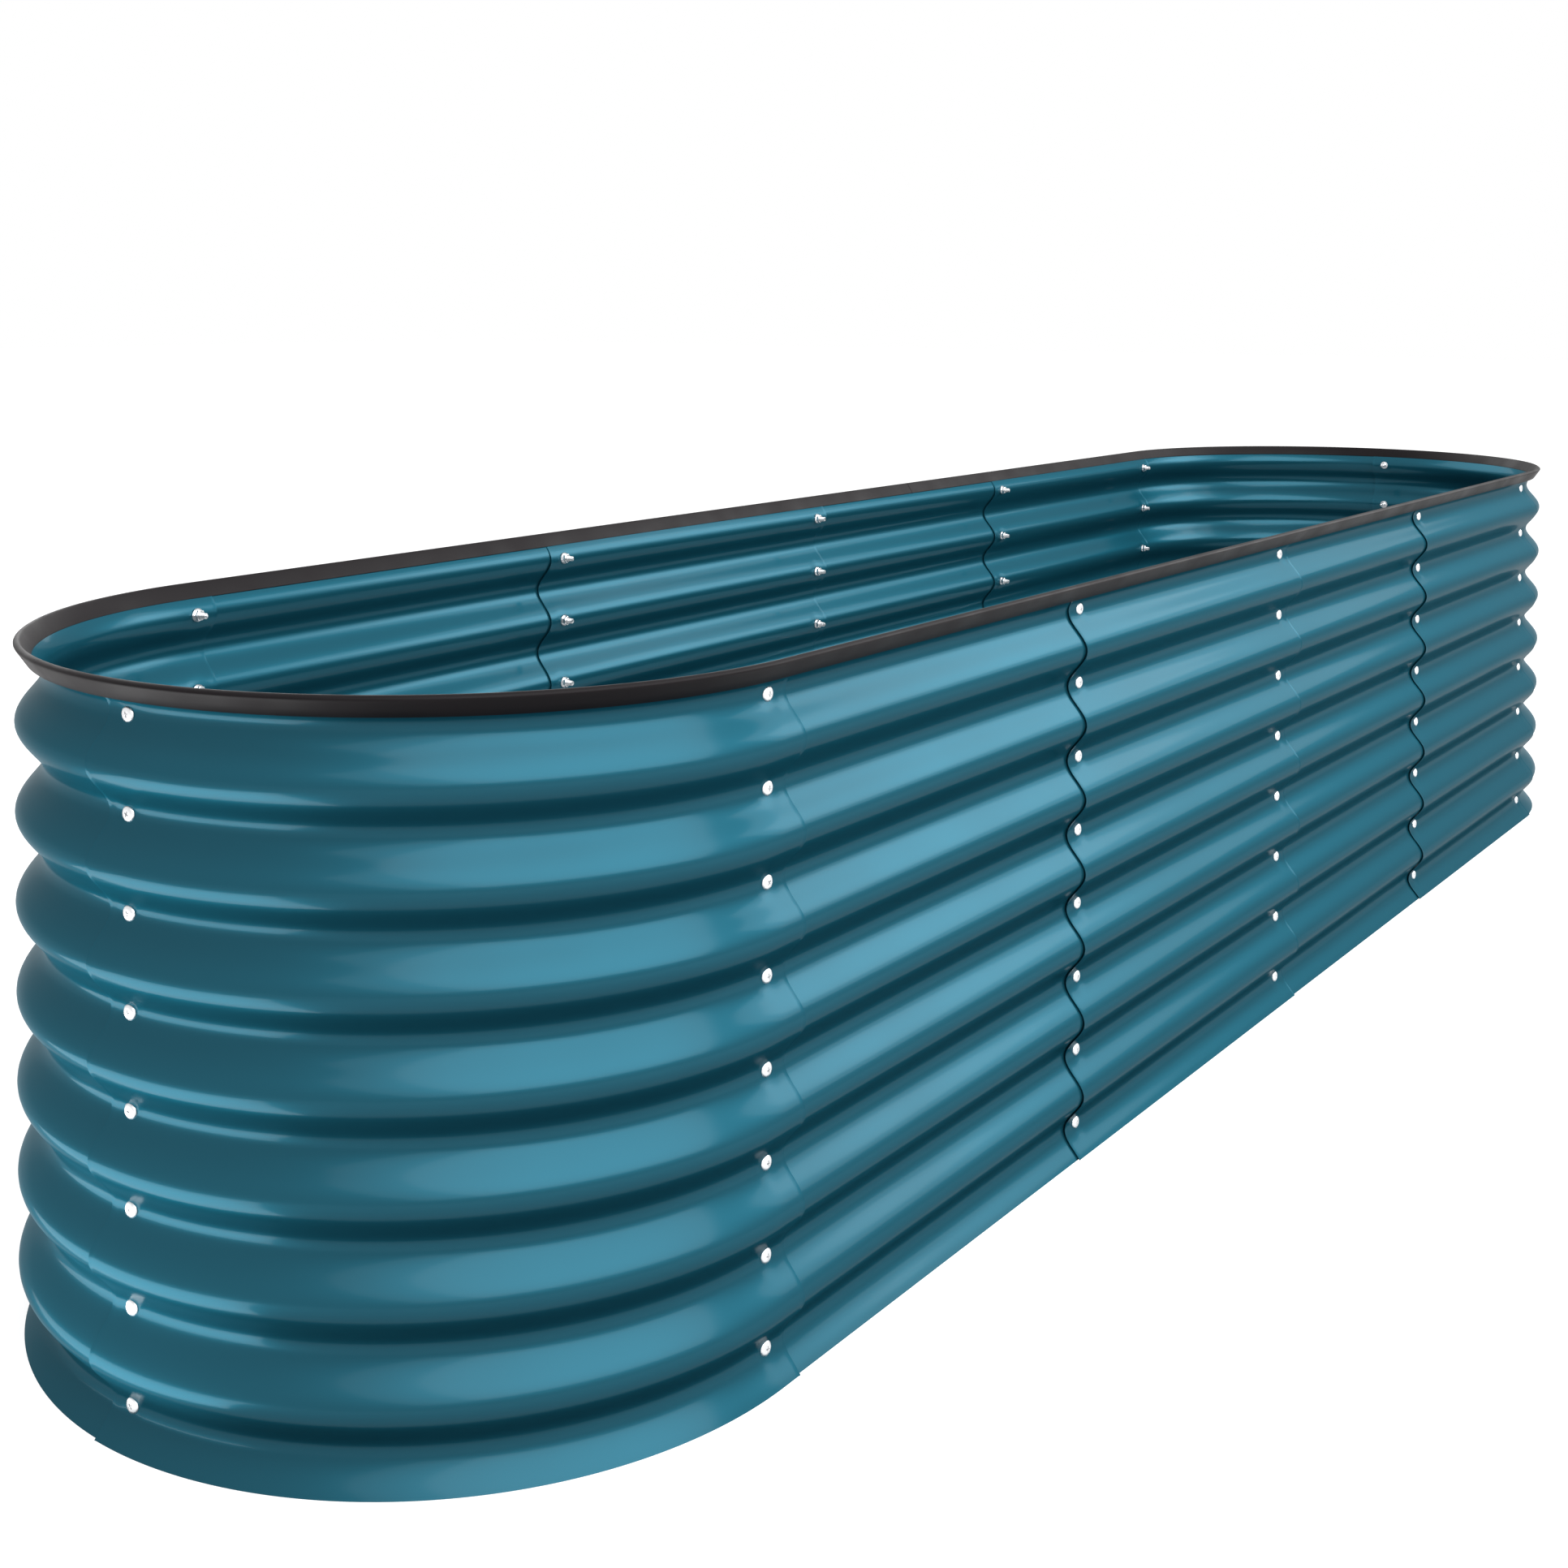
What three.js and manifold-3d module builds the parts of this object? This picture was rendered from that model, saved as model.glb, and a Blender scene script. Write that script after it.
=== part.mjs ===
// Oval raised garden bed: twelve corrugated sheet-steel panels lapped and bolted into an open ring,
// with a rubber trim over the top edge and three tie rods across the inside.
// Millimetres, +Z up, X along the bed, the front faces -Y. The origin is on the ground below the centre.
import * as THREE from "three";
import { mergeVertices } from "three/addons/utils/BufferGeometryUtils.js";
import Module from "manifold-3d";

// Driving dimensions.
const LENGTH = 3048; // over the crests of the corrugation
const WIDTH = 762;
const SHEET = 0.6; // steel thickness
const GAP = 0.3; // clearance between pieces that touch
const PITCH = 78.4; // height of one corrugation
const DEPTH = 22; // crest to valley
const LAND = 12.7; // flat strip along each valley and each crest
const ROWS = 8; // valleys, each with one row of bolts
const EDGE_MARGIN = 28; // sheet beyond the outermost valleys, cut on the slope
const SIDE_PANELS = 4; // flat panels on each long side
const LAP = 50; // overlap of neighbouring panels
const LAP_MARGIN = 1.5; // flat ground beyond each lap in a corner
const ARC_STEPS = 5; // changes of direction in a quarter round, besides those beside its two laps

const BOLT = { sides: 6, shank: 3, hole: 3.5, head: 6.2, crown: 4.6, headHeight: 3, reach: 14.5 };
const BOLT_SPINE = { width: 5, thickness: 2.5, overhang: 5 };
const NUT = { bore: 3.35, corner: 5.77, height: 5 };
const NUT_WIRE = { width: 1.3, thickness: 1.6, offset: 3.95, depth: 3.9 };
const TRIM = { wall: 2, leg: 17, clearance: 0.5, buttGap: 1 };
const TIE = { radius: 4, sides: 8, offset: 16, row: 4, tabThickness: 2, tabHeight: 16, tabEnd: 8 };

// Sizes that follow from them.
const RADIUS = WIDTH / 2; // of the round ends, over the crests
const SPAN = (LENGTH - WIDTH) / SIDE_PANELS; // between neighbouring seams of a side
const END_X = (LENGTH - WIDTH) / 2; // centre of each round end
const SLOPE_HEIGHT = PITCH / 2 - LAND;
const SHEET_HEIGHT = (ROWS - 1) * PITCH + 2 * EDGE_MARGIN;
const LAYER_STEP = SHEET + GAP; // an inner sheet lies this much behind an outer one
const STACK = SHEET + LAYER_STEP; // two lapped sheets
const VALLEY_REACH = RADIUS - DEPTH; // outer face of the outer sheet at a bolt
const STACK_REACH = VALLEY_REACH - STACK; // inner face of the inner sheet at a bolt
const LAP_ANGLE = Math.atan((LAP / 2 + LAP_MARGIN) / (STACK_REACH - DEPTH));
const rowHeight = (row) => EDGE_MARGIN + row * PITCH;

const PAINTED = { color: 0x1e6478, roughness: 0.25, metalness: 0.1 };
const RUBBER = { color: 0x2a2226, roughness: 0.6, metalness: 0 };
const ZINC = { color: 0xd9dcde, roughness: 0.3, metalness: 0.9 };

const wasm = await Module();
wasm.setup();

/** A closed geometry as a solid that can be joined and cut. */
function toSolid(geometry) {
  const bare = geometry.clone();
  bare.deleteAttribute("normal");
  bare.deleteAttribute("uv");
  const merged = mergeVertices(bare, 1e-4);
  const mesh = new wasm.Mesh({
    numProp: 3,
    vertProperties: merged.attributes.position.array,
    triVerts: new Uint32Array(merged.index.array),
  });
  return new wasm.Manifold(mesh);
}

/** A solid back as a geometry with flat faces. */
function toGeometry(solid) {
  const mesh = solid.getMesh();
  const geometry = new THREE.BufferGeometry();
  geometry.setAttribute("position", new THREE.BufferAttribute(mesh.vertProperties, mesh.numProp));
  geometry.setIndex(new THREE.BufferAttribute(mesh.triVerts, 1));
  const flat = geometry.toNonIndexed();
  flat.computeVertexNormals();
  return flat;
}

const joined = (geometries) => geometries.map(toSolid).reduce((sum, solid) => sum.add(solid));

// The plan. A station is a place along the oval: a point at distance `reach` from the bed's centre
// line lies at anchor + reach * miter, so every layer of every panel shares the same stations.

/** Unit vector that points out of the bed at an angle in degrees. */
function outward(degrees) {
  const angle = THREE.MathUtils.degToRad(degrees);
  return new THREE.Vector2(Math.cos(angle), Math.sin(angle));
}

/** A station on the flat facet that faces `degrees`, `along` millimetres counter-clockwise of the anchor. */
function facetStation(anchorX, degrees, along) {
  const normal = outward(degrees);
  const anchor = new THREE.Vector2(anchorX - normal.y * along, normal.x * along);
  return { anchor, miter: normal };
}

/** The station at the bend between two facets of a round end. */
function bendStation(anchorX, degreesA, degreesB) {
  const miter = outward((degreesA + degreesB) / 2);
  const halfTurn = THREE.MathUtils.degToRad((degreesB - degreesA) / 2);
  miter.divideScalar(Math.cos(halfTurn));
  return { anchor: new THREE.Vector2(anchorX, 0), miter };
}

/** The bends of a quarter round that starts at `start` degrees; its first and last facets hold the laps. */
function quarterBends(anchorX, start) {
  const lapTurn = 2 * THREE.MathUtils.radToDeg(LAP_ANGLE);
  const facings = [start];
  for (let step = 0; step <= ARC_STEPS; step++) {
    facings.push(start + lapTurn + (step * (90 - 2 * lapTurn)) / ARC_STEPS);
  }
  facings.push(start + 90);
  return facings.slice(1).map((facing, i) => bendStation(anchorX, facings[i], facing));
}

const stationPoint = ({ anchor, miter }, reach, z) =>
  new THREE.Vector3(anchor.x + miter.x * reach, anchor.y + miter.y * reach, z);

/** Sweeps a closed outline of (reach, z) points, counter-clockwise, through the stations. */
function sweep(outline, stations) {
  const positions = [];
  const triangle = (a, b, c) => positions.push(...a.toArray(), ...b.toArray(), ...c.toArray());
  const rings = stations.map((station) => outline.map(({ x, y }) => stationPoint(station, x, y)));
  for (let i = 0; i + 1 < rings.length; i++) {
    for (let k = 0; k < outline.length; k++) {
      const next = (k + 1) % outline.length;
      triangle(rings[i][k], rings[i + 1][k], rings[i + 1][next]);
      triangle(rings[i][k], rings[i + 1][next], rings[i][next]);
    }
  }
  const first = rings[0];
  const last = rings[rings.length - 1];
  for (const [a, b, c] of THREE.ShapeUtils.triangulateShape(outline, [])) {
    triangle(first[a], first[b], first[c]);
    triangle(last[c], last[b], last[a]);
  }
  const geometry = new THREE.BufferGeometry();
  geometry.setAttribute("position", new THREE.Float32BufferAttribute(positions, 3));
  return geometry;
}

/** Turns a piece built about the Y axis so that the axis points out at a seam, and carries it to a height. */
function placeAtSeam(geometry, seam, reach, z) {
  const { x, y } = seam.miter;
  const outwards = new THREE.Quaternion().setFromUnitVectors(
    new THREE.Vector3(0, 1, 0),
    new THREE.Vector3(x, y, 0),
  );
  const place = new THREE.Matrix4().compose(
    stationPoint(seam, reach, z),
    outwards,
    new THREE.Vector3(1, 1, 1),
  );
  return geometry.applyMatrix4(place);
}

// The corrugated sheet.

/** The corrugation's outer line as (reach, z) points from the bottom edge to the top edge. */
function corrugationLine() {
  const cutReach = RADIUS - DEPTH * (1 - (EDGE_MARGIN - LAND / 2) / SLOPE_HEIGHT);
  const line = [new THREE.Vector2(cutReach, 0)];
  for (let row = 0; row < ROWS; row++) {
    const valley = rowHeight(row);
    line.push(new THREE.Vector2(VALLEY_REACH, valley - LAND / 2));
    line.push(new THREE.Vector2(VALLEY_REACH, valley + LAND / 2));
    if (row < ROWS - 1) {
      const crest = valley + PITCH / 2;
      line.push(new THREE.Vector2(RADIUS, crest - LAND / 2));
      line.push(new THREE.Vector2(RADIUS, crest + LAND / 2));
    }
  }
  line.push(new THREE.Vector2(cutReach, SHEET_HEIGHT));
  return line;
}

/** The line moved inwards by `distance`, square to itself, with its two ends kept at their heights. */
function movedInwards(line, distance) {
  const slopeShift = (a, b) => distance * (a.distanceTo(b) / Math.abs(b.y - a.y));
  return line.map((point, i) => {
    const before = line[i - 1];
    const after = line[i + 1];
    if (!before) return new THREE.Vector2(point.x - slopeShift(point, after), point.y);
    if (!after) return new THREE.Vector2(point.x - slopeShift(before, point), point.y);
    const into = point.clone().sub(before).normalize();
    const outOf = after.clone().sub(point).normalize();
    const miter = new THREE.Vector2(-(into.y + outOf.y), into.x + outOf.x);
    miter.multiplyScalar(distance / (1 + into.dot(outOf)));
    return point.clone().add(miter);
  });
}

/** One panel: the corrugated sheet swept through its stations and punched at both seams. */
function panelGeometry(isOuter, stations, seams) {
  const outerLine = movedInwards(corrugationLine(), isOuter ? 0 : LAYER_STEP);
  const innerLine = movedInwards(corrugationLine(), (isOuter ? 0 : LAYER_STEP) + SHEET);
  let panel = toSolid(sweep([...outerLine, ...innerLine.reverse()], stations));
  for (const seam of seams) {
    for (let row = 0; row < ROWS; row++) {
      const punch = new THREE.CylinderGeometry(BOLT.hole, BOLT.hole, 4 * STACK, BOLT.sides);
      placeAtSeam(punch, seam, VALLEY_REACH - STACK / 2, rowHeight(row));
      panel = panel.subtract(toSolid(punch));
    }
  }
  return toGeometry(panel);
}

// The fasteners.

/** The bolts of one seam, held in line behind the sheets by a thin spine through their tips. */
function seamBoltsGeometry(seam) {
  const tip = STACK_REACH - BOLT.reach;
  const headBase = VALLEY_REACH + GAP;
  const outline = [
    [0, tip + BOLT_SPINE.thickness / 2],
    [BOLT.shank, tip + BOLT_SPINE.thickness / 2],
    [BOLT.shank, headBase],
    [BOLT.head, headBase],
    [BOLT.crown, headBase + BOLT.headHeight],
    [0, headBase + BOLT.headHeight],
  ].map(([radius, reach]) => new THREE.Vector2(radius, reach));
  const height = (ROWS - 1) * PITCH + 2 * BOLT_SPINE.overhang;
  const spine = new THREE.BoxGeometry(BOLT_SPINE.width, BOLT_SPINE.thickness, height);
  placeAtSeam(spine, seam, tip + BOLT_SPINE.thickness / 2, SHEET_HEIGHT / 2);
  const pieces = [spine];
  for (let row = 0; row < ROWS; row++) {
    pieces.push(placeAtSeam(new THREE.LatheGeometry(outline, BOLT.sides), seam, 0, rowHeight(row)));
  }
  return toGeometry(joined(pieces));
}

/** The nuts of one seam, held in line by a thin wire through their walls; `tiedRow` sits on a rod's tab. */
function seamNutsGeometry(seam, tiedRow) {
  const { bore, corner, height } = NUT;
  const wireHeight = (ROWS - 1) * PITCH + height;
  const wire = new THREE.BoxGeometry(NUT_WIRE.width, NUT_WIRE.thickness, wireHeight);
  wire.translate(NUT_WIRE.offset, 0, 0);
  const pieces = [placeAtSeam(wire, seam, STACK_REACH - NUT_WIRE.depth, SHEET_HEIGHT / 2)];
  for (let row = 0; row < ROWS; row++) {
    const seat = STACK_REACH - GAP - (row === tiedRow ? TIE.tabThickness + GAP : 0);
    const outline = [
      [bore, seat - height],
      [corner, seat - height],
      [corner, seat],
      [bore, seat],
      [bore, seat - height],
    ].map(([radius, reach]) => new THREE.Vector2(radius, reach));
    pieces.push(placeAtSeam(new THREE.LatheGeometry(outline, BOLT.sides), seam, 0, rowHeight(row)));
  }
  return toGeometry(joined(pieces));
}

/** A rod across the bed, with a punched tab at each end that lies under the nuts of the two seams. */
function tieRodGeometry(x) {
  const tabReach = STACK_REACH - GAP - TIE.tabThickness / 2;
  const tabWidth = TIE.tabEnd + TIE.offset + TIE.tabEnd;
  const tabCentre = x + tabWidth / 2 - TIE.tabEnd;
  const z = rowHeight(TIE.row);
  const rod = new THREE.CylinderGeometry(TIE.radius, TIE.radius, 2 * tabReach, TIE.sides);
  rod.translate(x + TIE.offset, 0, z);
  const tabs = [-1, 1].map((side) =>
    new THREE.BoxGeometry(tabWidth, TIE.tabThickness, TIE.tabHeight).translate(
      tabCentre,
      side * tabReach,
      z,
    ),
  );
  let tie = joined([rod, ...tabs]);
  for (const facing of [-90, 90]) {
    const punch = new THREE.CylinderGeometry(BOLT.hole, BOLT.hole, 2 * TIE.tabThickness, BOLT.sides);
    placeAtSeam(punch, facetStation(x, facing, 0), tabReach, z);
    tie = tie.subtract(toSolid(punch));
  }
  return toGeometry(tie);
}

// The trim.

/** The trim: a channel tilted with the slope of the top edge, pushed over both layers of sheet. */
function trimGeometry(stations) {
  const line = corrugationLine();
  const edge = line[line.length - 1];
  const along = edge.clone().sub(line[line.length - 2]).normalize();
  const out = new THREE.Vector2(along.y, -along.x);
  const outerSlot = GAP;
  const innerSlot = -(STACK + GAP);
  const top = TRIM.clearance + TRIM.wall;
  const outline = [
    [outerSlot, -TRIM.leg],
    [outerSlot + TRIM.wall, -TRIM.leg],
    [outerSlot + TRIM.wall, top],
    [innerSlot - TRIM.wall, top],
    [innerSlot - TRIM.wall, -TRIM.leg],
    [innerSlot, -TRIM.leg],
    [innerSlot, TRIM.clearance],
    [outerSlot, TRIM.clearance],
  ].map(([o, s]) => edge.clone().addScaledVector(out, o).addScaledVector(along, s));
  return sweep(outline, stations);
}

// The assembly.
const bed = new THREE.Group();
bed.name = "raised_garden_bed";

function addPiece(name, geometry, finish) {
  const mesh = new THREE.Mesh(geometry, new THREE.MeshStandardMaterial(finish));
  mesh.name = name;
  bed.add(mesh);
}

/** One quarter-round corner panel between two seams, reaching half a lap past each of them. */
function addCorner(name, isOuter, anchorX, start) {
  const stations = [
    facetStation(anchorX, start, -LAP / 2),
    ...quarterBends(anchorX, start),
    facetStation(anchorX, start + 90, LAP / 2),
  ];
  const seams = [facetStation(anchorX, start, 0), facetStation(anchorX, start + 90, 0)];
  addPiece(name, panelGeometry(isOuter, stations, seams), PAINTED);
}

/** The flat panels of one side, numbered from the left, in turn behind and in front of their neighbours. */
function addSide(side, facing, isOuter) {
  for (let i = 0; i < SIDE_PANELS; i++) {
    const seams = [i, i + 1].map((n) => facetStation(-END_X + n * SPAN, facing, 0));
    const ends = [-END_X + i * SPAN - LAP / 2, -END_X + (i + 1) * SPAN + LAP / 2];
    const stations = ends.map((x) => facetStation(x, facing, 0));
    if (facing === 90) stations.reverse();
    addPiece(`side_panel_${side}_${i + 1}`, panelGeometry(isOuter(i), stations, seams), PAINTED);
  }
}

addCorner("corner_panel_front_left", true, -END_X, 180);
addSide("front", 270, (i) => i % 2 === 1);
addCorner("corner_panel_front_right", false, END_X, 270);
addCorner("corner_panel_back_right", true, END_X, 0);
addSide("back", 90, (i) => i % 2 === 0);
addCorner("corner_panel_back_left", false, -END_X, 90);

/** The bolts and the nuts of one seam. */
function addFasteners(place, seam, tiedRow) {
  addPiece(`seam_bolts_${place}`, seamBoltsGeometry(seam), ZINC);
  addPiece(`seam_nuts_${place}`, seamNutsGeometry(seam, tiedRow), ZINC);
}

addFasteners("left_end", facetStation(-END_X, 180, 0), null);
addFasteners("right_end", facetStation(END_X, 0, 0), null);
for (let i = 0; i <= SIDE_PANELS; i++) {
  const x = -END_X + i * SPAN;
  const tiedRow = i > 0 && i < SIDE_PANELS ? TIE.row : null;
  addFasteners(`front_${i + 1}`, facetStation(x, 270, 0), tiedRow);
  addFasteners(`back_${i + 1}`, facetStation(x, 90, 0), tiedRow);
}

for (let i = 1; i < SIDE_PANELS; i++) {
  addPiece(`tie_rod_${i}`, tieRodGeometry(-END_X + i * SPAN), ZINC);
}

const trimJoint = SPAN / 2; // the strip's ends meet in the middle of a back panel
const trimStations = [
  facetStation(trimJoint, 90, TRIM.buttGap / 2),
  ...quarterBends(-END_X, 90),
  ...quarterBends(-END_X, 180),
  ...quarterBends(END_X, 270),
  ...quarterBends(END_X, 360),
  facetStation(trimJoint, 90, -TRIM.buttGap / 2),
];
addPiece("edge_trim", trimGeometry(trimStations), RUBBER);

export default bed;
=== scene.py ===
"""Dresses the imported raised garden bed: corrugated painted panels, rubber trim, bolts, nuts and tie rods.

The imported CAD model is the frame. Every piece made here replaces one of its nodes and stays where that
node is. Sizes are in metres, X runs along the bed and the front faces -Y.
"""
import logging
import math
from collections.abc import Callable, Iterable, Sequence
from dataclasses import dataclass, field
from enum import Enum
from functools import partial

import bmesh
import bpy
from mathutils import Matrix, Vector


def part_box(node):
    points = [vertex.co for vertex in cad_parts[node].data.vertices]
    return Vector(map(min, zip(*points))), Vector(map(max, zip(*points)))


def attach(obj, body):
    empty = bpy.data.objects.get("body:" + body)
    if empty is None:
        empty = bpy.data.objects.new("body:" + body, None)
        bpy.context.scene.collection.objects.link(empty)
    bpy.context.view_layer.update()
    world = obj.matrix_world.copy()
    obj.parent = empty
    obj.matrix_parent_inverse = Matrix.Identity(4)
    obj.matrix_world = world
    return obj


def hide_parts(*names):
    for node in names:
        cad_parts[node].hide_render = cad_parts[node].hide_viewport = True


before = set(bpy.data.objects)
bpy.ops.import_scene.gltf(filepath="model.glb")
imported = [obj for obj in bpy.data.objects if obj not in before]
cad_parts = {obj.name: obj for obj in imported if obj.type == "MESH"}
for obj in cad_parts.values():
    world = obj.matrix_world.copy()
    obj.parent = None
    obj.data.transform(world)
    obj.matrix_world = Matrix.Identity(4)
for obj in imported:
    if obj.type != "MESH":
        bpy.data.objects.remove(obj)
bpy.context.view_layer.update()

LOG = logging.getLogger("garden_bed")
MM = 0.001
PHOTO_SIDE = 1932  # pixels
CREASE_DEGREES = 35  # the least angle between two faces that stays a sharp edge
NOISE_SPREAD = (0.3, 0.7)  # holds most of a noise texture's values
WHITE = (1.0, 1.0, 1.0, 1.0)

# Node types that are used many times.
MATH = "ShaderNodeMath"
VECTOR_MATH = "ShaderNodeVectorMath"
MAP_RANGE = "ShaderNodeMapRange"
COMBINE = "ShaderNodeCombineXYZ"
SEPARATE = "ShaderNodeSeparateXYZ"
NOISE = "ShaderNodeTexNoise"
GROUP = "GeometryNodeGroup"
SET_POSITION = "GeometryNodeSetPosition"

# The output and the first inputs of every tree that makes a piece.
SHAPE = {"Geometry": "geometry"}
PIECE = SHAPE | {"Material": "finish"}

Tree = bpy.types.NodeTree
Node = bpy.types.Node
Socket = bpy.types.NodeSocket
Sockets = bpy.types.bpy_prop_collection
Adder = Callable[..., Node]
Inputs = Sequence[object] | dict[str | int, object]
Labels = dict[str, str]
Object = bpy.types.Object
Mesh = bpy.types.Mesh
Shape = bmesh.types.BMesh
Ring = list[bmesh.types.BMVert]
Pair = tuple[float, float]
Spot = tuple[float, float, float]


class Slot(Enum):
    """The record's material slots."""

    PAINTED_SHEET = "painted_sheet"
    ZINC_PLATE = "zinc_plated_steel"
    RUBBER = "rubber_trim"


class Layer(Enum):
    """Which of two lapped sheets a panel is."""

    OUTER = "outer"
    INNER = "inner"


def linear(hex_colour: str) -> tuple[float, float, float, float]:
    """Turns an sRGB hex colour to linear light.

    Args:
        hex_colour: a # and six hex digits.

    Returns:
        Linear red, green and blue, and an opacity of 1.
    """
    channels = [int(hex_colour[i : i + 2], 16) / 255 for i in (1, 3, 5)]
    red, green, blue = (c / 12.92 if c <= 0.04045 else ((c + 0.055) / 1.055) ** 2.4 for c in channels)
    return red, green, blue, 1.0


def add_node(tree: Tree, kind: str, inputs: Inputs = (), operation: str = "", **settings: object) -> Node:
    """Adds a node with its settings and links.

    Args:
        tree: the tree that takes the node.
        kind: the node's type name.
        inputs: what each input takes, in order or by name: a value, a socket, or a node for its first output.
        operation: which of its operations the node does, if it has several.
        settings: the node's other options.

    Returns:
        The new node.
    """
    node = tree.nodes.new(kind)
    if operation:
        settings["operation"] = operation
    for option, choice in settings.items():
        setattr(node, option, choice)
    for key, value in inputs.items() if isinstance(inputs, dict) else enumerate(inputs):
        if isinstance(value, Node):
            value = next(socket for socket in value.outputs if socket.enabled)
        if isinstance(value, Socket):
            tree.links.new(value, node.inputs[key])
        else:
            node.inputs[key].default_value = value
    return node


def empty_tree(owner: bpy.types.Material | bpy.types.World) -> Adder:
    """Gives a material or a world a node tree with nothing in it.

    Args:
        owner: the material or world.

    Returns:
        What adds a node to the tree.
    """
    owner.use_nodes = True
    owner.node_tree.nodes.clear()
    return partial(add_node, owner.node_tree)


def new_tree(name: str, inputs: Labels, outputs: Labels = SHAPE) -> tuple[Tree, Adder, Sockets]:
    """Starts a Geometry Nodes tree.

    Args:
        name: the tree's name.
        inputs: the names of its inputs, parted by spaces, for each kind of socket.
        outputs: the same for its outputs.

    Returns:
        The tree, what adds a node to it, and its inputs.
    """
    tree = bpy.data.node_groups.new(name, "GeometryNodeTree")
    for way, kinds in (("INPUT", inputs), ("OUTPUT", outputs)):
        for kind, labels in kinds.items():
            for label in labels.split():
                tree.interface.new_socket(label, in_out=way, socket_type="NodeSocket" + kind)
    add = partial(add_node, tree)
    return tree, add, add("NodeGroupInput").outputs


def end_tree(add: Adder, geometry: Node, finish: Socket) -> None:
    """Ends the tree of a piece: its copies become real faces with one material.

    Args:
        add: what adds a node to the tree.
        geometry: the node that gives the shape.
        finish: the tree's input for the material.
    """
    realised = add("GeometryNodeRealizeInstances", [geometry])
    finished = add("GeometryNodeSetMaterial", {"Geometry": realised, "Material": finish})
    add("NodeGroupOutput", [finished])


def show(name: str, data: bpy.types.ID) -> Object:
    """Puts a mesh, lamp or camera in the scene.

    Args:
        name: the new object's name.
        data: the mesh, lamp or camera.

    Returns:
        The object.
    """
    shown = bpy.data.objects.new(name, data)
    bpy.context.scene.collection.objects.link(shown)
    return shown


def smooth_piece(name: str, mesh: Mesh) -> Object:
    """Makes a smooth-shaded object at the origin, with its creases kept sharp.

    Args:
        name: the object's name.
        mesh: its mesh, already in place.

    Returns:
        The object.
    """
    mesh.name = name
    mesh.polygons.foreach_set("use_smooth", [True] * len(mesh.polygons))
    mesh.set_sharp_from_angle(angle=math.radians(CREASE_DEGREES))
    return show(name, mesh)


def grow(name: str, start: Mesh, tree: Tree, sizes: dict[str, object], wall: float = 0.0) -> Object:
    """Runs a tree on a mesh and keeps the result as a plain mesh object.

    Args:
        name: the finished object's name.
        start: the mesh that the tree starts from.
        tree: the Geometry Nodes tree.
        sizes: values by name, of which each input of the tree takes the one with its own name.
        wall: a thickness to give the result, grown inwards, or 0 for none.

    Returns:
        The object, at the origin.
    """
    maker = show(name + "_maker", start)
    modifier = maker.modifiers.new("grown", "NODES")
    modifier.node_group = tree
    for item in tree.interface.items_tree:
        if item.in_out == "INPUT" and item.name in sizes:
            modifier[item.identifier] = sizes[item.name]
    if wall:
        solidify = maker.modifiers.new("wall", "SOLIDIFY")
        solidify.thickness = wall
        solidify.offset = -1
        solidify.use_even_offset = True
    depsgraph = bpy.context.evaluated_depsgraph_get()
    mesh = bpy.data.meshes.new_from_object(maker.evaluated_get(depsgraph), depsgraph=depsgraph)
    bpy.data.objects.remove(maker)
    return smooth_piece(name, mesh)


def dress(piece: Object, node: str) -> None:
    """Lets a finished piece stand for a CAD node and reports it.

    Args:
        piece: the piece.
        node: the CAD node that it replaces.
    """
    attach(piece, "root")
    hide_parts(node)
    LOG.info("%s: %d faces", piece.name, len(piece.data.polygons))


# The finishes.


@dataclass(frozen=True)
class Finish:
    """A surface whose colour and gloss drift softly, over a fine relief that only bends the light."""

    name: str
    colour: str
    second_colour: str
    cloud: float  # size of the drift
    cloud_detail: float
    roughness: Pair
    relief_depth: float
    relief_strength: float = 1.0

    def material(self) -> bpy.types.Material:
        """Builds the material once.

        Returns:
            The material.
        """
        if self.name in bpy.data.materials:
            return bpy.data.materials[self.name]
        material = bpy.data.materials.new(self.name)
        add = empty_tree(material)
        place = add("ShaderNodeTexCoord").outputs["Object"]
        drift = {"Vector": place, "Scale": 1 / self.cloud, "Detail": self.cloud_detail}
        clouds = add(NOISE, drift)
        colours = {0: clouds, 6: linear(self.colour), 7: linear(self.second_colour)}
        tint = add("ShaderNodeMix", colours, data_type="RGBA").outputs[2]
        gloss = add(MAP_RANGE, [clouds, *NOISE_SPREAD, *self.roughness])
        relief = {"Height": self.relief(add, place), "Distance": self.relief_depth}
        bump = add("ShaderNodeBump", relief | {"Strength": self.relief_strength})
        look = {"Base Color": tint, "Roughness": gloss, "Normal": bump} | self.shine()
        if "Coat Weight" in look:
            look["Coat Normal"] = bump
        shader = add("ShaderNodeBsdfPrincipled", look)
        add("ShaderNodeOutputMaterial", {"Surface": shader})
        return material

    def relief(self, add: Adder, place: Socket) -> Node:
        """Adds the nodes of the relief.

        Args:
            add: what adds a node to the material.
            place: the piece's own coordinates in metres.

        Returns:
            The node that gives the relief's height.
        """
        raise NotImplementedError

    def shine(self) -> dict[str, object]:
        """The shader's other settings, by socket."""
        raise NotImplementedError


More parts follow.
